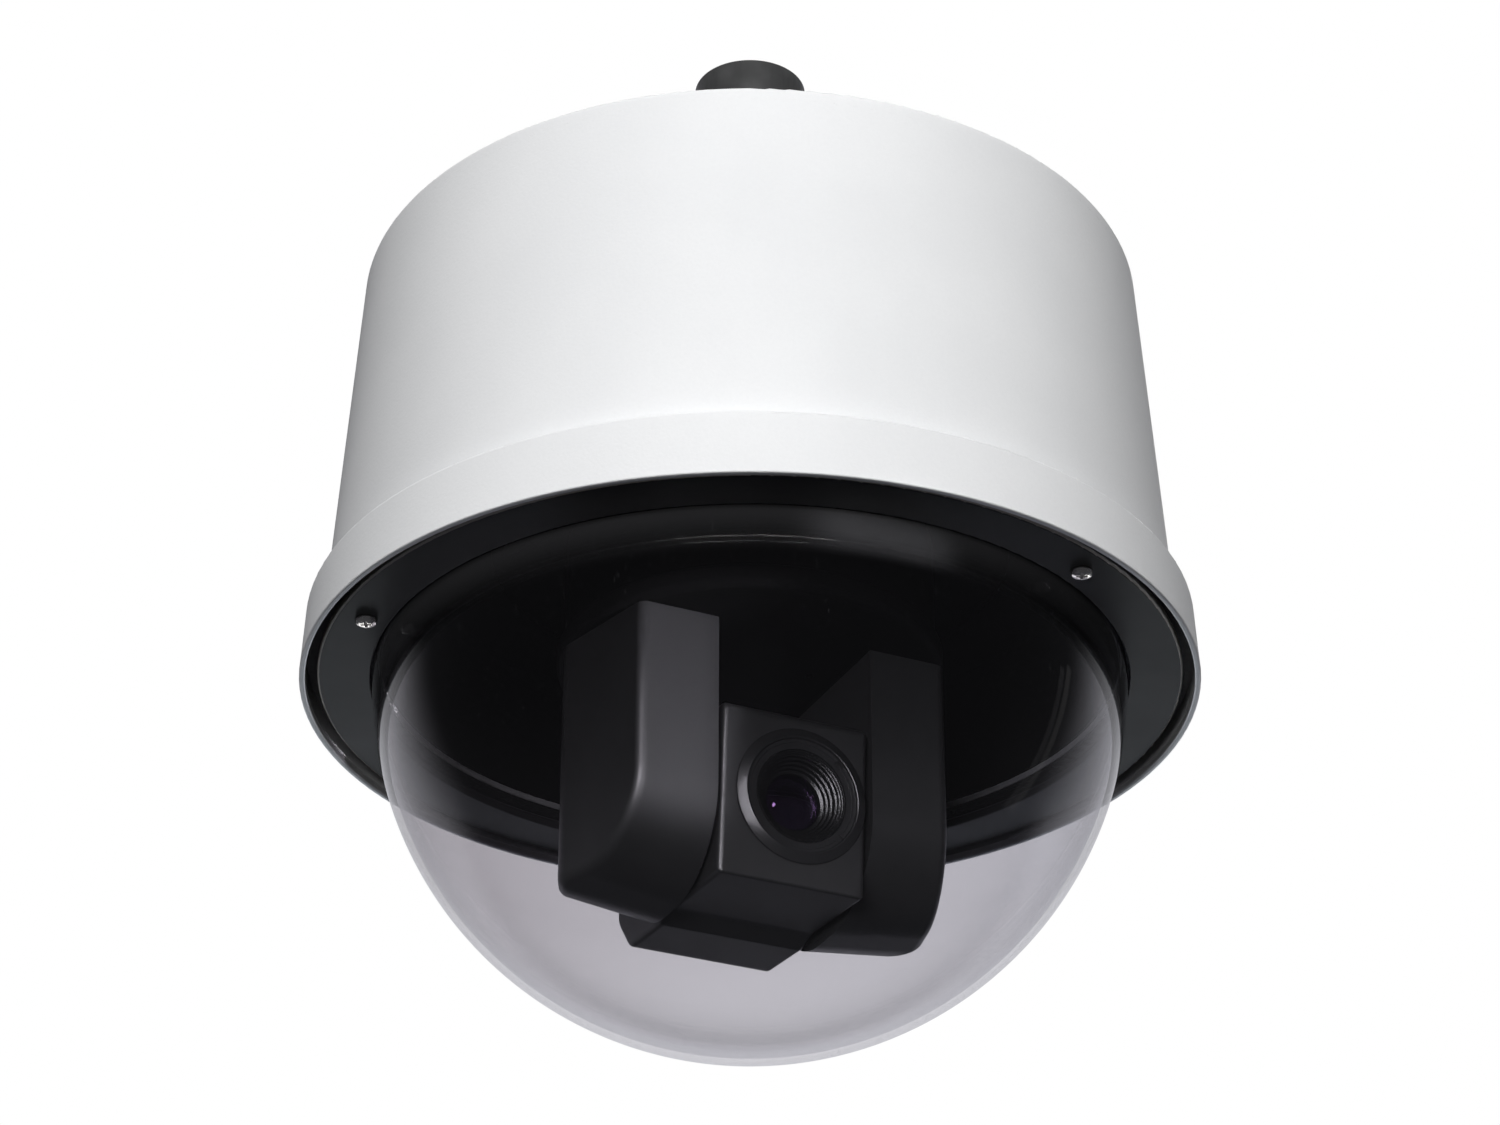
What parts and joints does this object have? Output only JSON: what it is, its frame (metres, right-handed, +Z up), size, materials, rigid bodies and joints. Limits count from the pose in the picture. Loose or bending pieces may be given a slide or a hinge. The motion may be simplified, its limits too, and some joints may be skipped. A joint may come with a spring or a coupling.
{
  "type": "dome-housed ptz camera",
  "caption": "Pendant dome housing with a clear lower hemisphere and an inverted pan-tilt-zoom camera on a U-shaped yoke inside.",
  "frame": {"origin": "centre of the pipe's upper end, where the housing hangs from its mount", "axes": "+Z up along the pipe; -Y is the housing's front, +X to the right seen from the front"},
  "size_m": [0.361, 0.361, 0.4465],
  "materials": {
    "white_paint": "satin powder coat",
    "black_paint": "satin",
    "clear_dome": "polished clear acrylic",
    "camera_shell": "fine satin",
    "black_plastic": "matte",
    "rubber": "matte",
    "stainless": "bright",
    "aluminium": "mill finish",
    "brass": "turned",
    "circuit_board": "satin",
    "lens_glass": "coated",
    "lens_black": "semi-gloss",
    "motor_steel": "zinc plated"
  },
  "bodies": {
    "root": {"mounting_pipe": "black_paint", "pipe_collar": "white_paint", "collar_gasket": "rubber", "collar_backing_ring": "aluminium", "collar_screws": "stainless", "housing_can": "white_paint", "housing_crown": "white_paint", "housing_skirt": "white_paint", "ledge_screws": "stainless", "dome_ring": "black_paint", "dome_gasket": "rubber", "clear_dome": "clear_dome", "ring_screws": "stainless", "liner": "black_plastic", "liner_roof": "black_plastic", "camera_plate": "aluminium", "plate_posts": "aluminium", "plate_screws": "stainless", "lead_grommet": "rubber", "camera_lead": "black_plastic", "fan_frame": "black_plastic", "heater_block": "aluminium", "thermostat": "motor_steel", "power_board": "circuit_board", "power_parts": "motor_steel", "terminal_block": "circuit_board", "camera_base": "black_plastic", "pan_chassis": "aluminium", "pan_bush": "brass", "pan_motor": "motor_steel", "connector_panel": "black_plastic", "control_board": "circuit_board"},
    "fan": {"fan_rotor": "black_plastic"},
    "pan_pinion": {"pan_pinion": "brass"},
    "yoke": {"turntable": "black_plastic", "pan_shaft": "aluminium", "pan_gear": "lens_black", "turntable_screws": "stainless", "arm_left_shell": "camera_shell", "arm_right_shell": "camera_shell", "arm_inner_covers": "camera_shell", "arm_brackets": "aluminium", "tilt_bushes": "brass", "tilt_motor_mount": "aluminium", "tilt_motor": "motor_steel"},
    "tilt_pinion": {"tilt_pinion": "brass"},
    "head": {"head_front_cover": "camera_shell", "head_rear_cover": "camera_shell", "lens_bezel": "camera_shell", "lens_baffle": "lens_black", "front_lens": "lens_glass", "lens_tube": "lens_black", "guide_rods": "stainless", "sensor_board": "circuit_board", "head_chassis": "aluminium", "tilt_shafts": "stainless", "tilt_gear": "lens_black"},
    "zoom_group": {"zoom_group": "lens_black"},
    "focus_group": {"focus_group": "lens_black"},
    "ir_filter": {"ir_filter": "lens_black"}
  },
  "joints": [
    {"name": "pan", "type": "hinge", "parent": "root", "child": "yoke", "pos_m": [0, 0, -0.286], "axis": [0, 0, 1], "range_deg": [-195, 145]},
    {"name": "tilt", "type": "hinge", "parent": "yoke", "child": "head", "pos_m": [0.00182, -0.0039, -0.3615], "axis": [0.9063, 0.4226, 0], "range_deg": [-34, 85.7]},
    {"name": "pan_pinion_spin", "type": "hinge", "parent": "root", "child": "pan_pinion", "pos_m": [0, 0.0468, -0.276], "axis": [0, 0, 1], "range_deg": [-490, 655]},
    {"name": "tilt_pinion_spin", "type": "hinge", "parent": "yoke", "child": "tilt_pinion", "pos_m": [0.04079, 0.01427, -0.33675], "axis": [0.9063, 0.4226, 0], "range_deg": [-230, 92]},
    {"name": "zoom", "type": "slide", "parent": "head", "child": "zoom_group", "axis": [0.4214, -0.9038, -0.075], "range_m": [-0.012, 0.01]},
    {"name": "focus", "type": "slide", "parent": "head", "child": "focus_group", "axis": [0.4214, -0.9038, -0.075], "range_m": [-0.005, 0.006]},
    {"name": "ir_filter_slide", "type": "slide", "parent": "head", "child": "ir_filter", "axis": [0.9063, 0.4226, 0], "range_m": [-0.012, 0]},
    {"name": "fan_spin", "type": "hinge", "parent": "root", "child": "fan", "pos_m": [-0.092, 0, -0.217], "axis": [0, 0, 1], "continuous": true}
  ],
  "couplings": [
    {"joint": "pan_pinion_spin", "follows": "pan", "ratio": -3.3333},
    {"joint": "tilt_pinion_spin", "follows": "tilt", "ratio": -2.6667}
  ]
}
